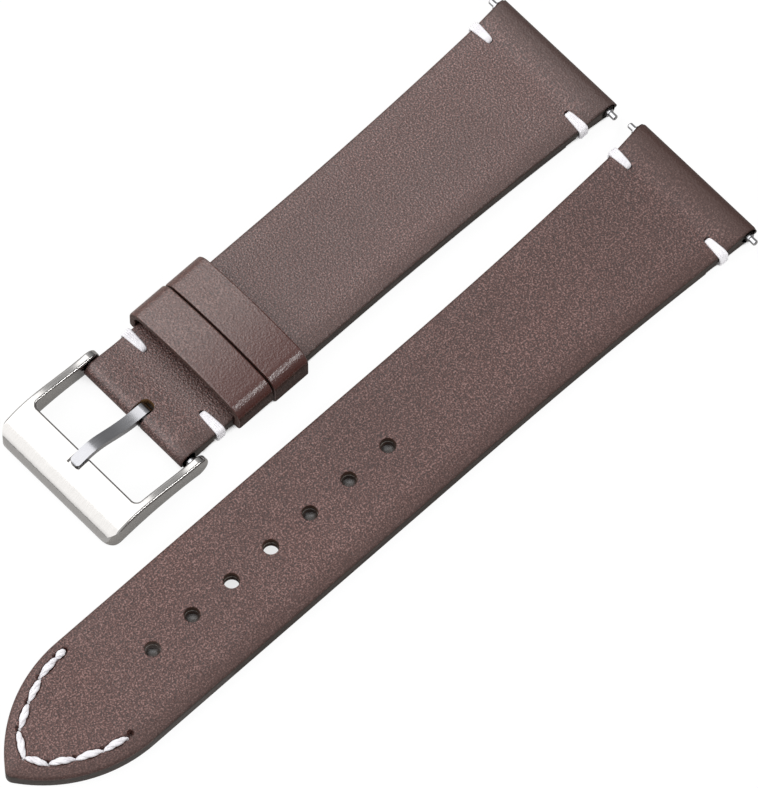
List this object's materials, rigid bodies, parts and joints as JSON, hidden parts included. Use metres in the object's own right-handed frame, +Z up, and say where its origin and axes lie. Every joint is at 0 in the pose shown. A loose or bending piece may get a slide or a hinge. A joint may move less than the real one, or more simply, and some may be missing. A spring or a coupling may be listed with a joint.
{
  "type": "leather watch strap",
  "caption": "Two-piece leather watch strap with spring bars at the lug ends, a pin buckle, a fixed and a sliding keeper, and a pointed, stitched tail with adjusting holes.",
  "frame": {"origin": "on the table, under the middle of the box round both halves", "axes": "+X along the strap from tip and buckle to the lug ends, +Y from the long half to the short half, +Z up from the table"},
  "size_m": [0.1164, 0.0466, 0.0061],
  "materials": {
    "leather_top": "fine grained, waxed, dark brown",
    "leather_lining": "smooth, matte, brown",
    "sheet": "plain weave, hidden",
    "keeper": "smooth, slightly glossy, dark brown",
    "thread": "waxed white thread",
    "bar_steel": "turned steel",
    "polished_steel": "polished"
  },
  "bodies": {
    "long_half": {"long_top_leather": "leather_top", "long_lining": "leather_lining", "long_reinforcement": "sheet", "tip_thread": "thread", "long_lug_thread_left": "thread", "long_lug_thread_right": "thread"},
    "long_bar": {"long_bar_tube": "bar_steel", "long_bar_spring": "bar_steel"},
    "long_tip_left": {"long_bar_tip_left": "bar_steel"},
    "long_tip_right": {"long_bar_tip_right": "bar_steel"},
    "short_half": {"short_top_leather": "leather_top", "short_lining": "leather_lining", "short_reinforcement": "sheet", "fixed_keeper": "keeper", "short_lug_thread_left": "thread", "short_lug_thread_right": "thread", "buckle_thread_left": "thread", "buckle_thread_right": "thread"},
    "short_bar": {"short_bar_tube": "bar_steel", "short_bar_spring": "bar_steel"},
    "short_tip_left": {"short_bar_tip_left": "bar_steel"},
    "short_tip_right": {"short_bar_tip_right": "bar_steel"},
    "buckle_bar": {"buckle_bar_tube": "bar_steel", "buckle_bar_spring": "bar_steel"},
    "buckle_tip_left": {"buckle_bar_tip_left": "bar_steel"},
    "buckle_tip_right": {"buckle_bar_tip_right": "bar_steel"},
    "buckle_frame": {"buckle_frame": "polished_steel"},
    "buckle_tongue": {"buckle_tongue": "polished_steel"},
    "free_keeper": {"free_keeper": "keeper"}
  },
  "joints": [
    {"name": "halves_shift", "type": "slide", "parent": "long_half", "child": "short_half", "axis": [1, 0, 0], "range_m": [-0.06, 0.06]},
    {"name": "long_bar_turn", "type": "hinge", "parent": "long_half", "child": "long_bar", "pos_m": [0.0569, -0.01208, 0.00135], "axis": [0, 1, 0], "continuous": true},
    {"name": "short_bar_turn", "type": "hinge", "parent": "short_half", "child": "short_bar", "pos_m": [0.0562, 0.01208, 0.0016], "axis": [0, 1, 0], "continuous": true},
    {"name": "buckle_bar_turn", "type": "hinge", "parent": "short_half", "child": "buckle_bar", "pos_m": [-0.0138, 0.01178, 0.0016], "axis": [0, 1, 0], "continuous": true},
    {"name": "long_tip_left_push", "type": "slide", "parent": "long_bar", "child": "long_tip_left", "axis": [0, -1, 0], "range_m": [0, 0.0012], "stiffness_N_per_m": 400, "springref_m": -0.003, "deforming": ["long_bar_spring"]},
    {"name": "long_tip_right_push", "type": "slide", "parent": "long_bar", "child": "long_tip_right", "axis": [0, 1, 0], "range_m": [0, 0.0012], "stiffness_N_per_m": 400, "springref_m": -0.003, "deforming": ["long_bar_spring"]},
    {"name": "short_tip_left_push", "type": "slide", "parent": "short_bar", "child": "short_tip_left", "axis": [0, -1, 0], "range_m": [0, 0.0012], "stiffness_N_per_m": 400, "springref_m": -0.003, "deforming": ["short_bar_spring"]},
    {"name": "short_tip_right_push", "type": "slide", "parent": "short_bar", "child": "short_tip_right", "axis": [0, 1, 0], "range_m": [0, 0.0012], "stiffness_N_per_m": 400, "springref_m": -0.003, "deforming": ["short_bar_spring"]},
    {"name": "buckle_tip_left_push", "type": "slide", "parent": "buckle_bar", "child": "buckle_tip_left", "axis": [0, -1, 0], "range_m": [0, 0.00095], "stiffness_N_per_m": 400, "springref_m": -0.003, "deforming": ["buckle_bar_spring"]},
    {"name": "buckle_tip_right_push", "type": "slide", "parent": "buckle_bar", "child": "buckle_tip_right", "axis": [0, 1, 0], "range_m": [0, 0.00095], "stiffness_N_per_m": 400, "springref_m": -0.003, "deforming": ["buckle_bar_spring"]},
    {"name": "buckle_swing", "type": "hinge", "parent": "short_half", "child": "buckle_frame", "pos_m": [-0.0138, 0.01178, 0.0016], "axis": [0, 1, 0], "range_deg": [-70, 30]},
    {"name": "tongue_swing", "type": "hinge", "parent": "buckle_frame", "child": "buckle_tongue", "pos_m": [-0.0138, 0.01178, 0.0016], "axis": [0, 1, 0], "range_deg": [0, 60]},
    {"name": "keeper_slide", "type": "slide", "parent": "short_half", "child": "free_keeper", "axis": [1, 0, 0], "range_m": [0, 0.02]}
  ]
}
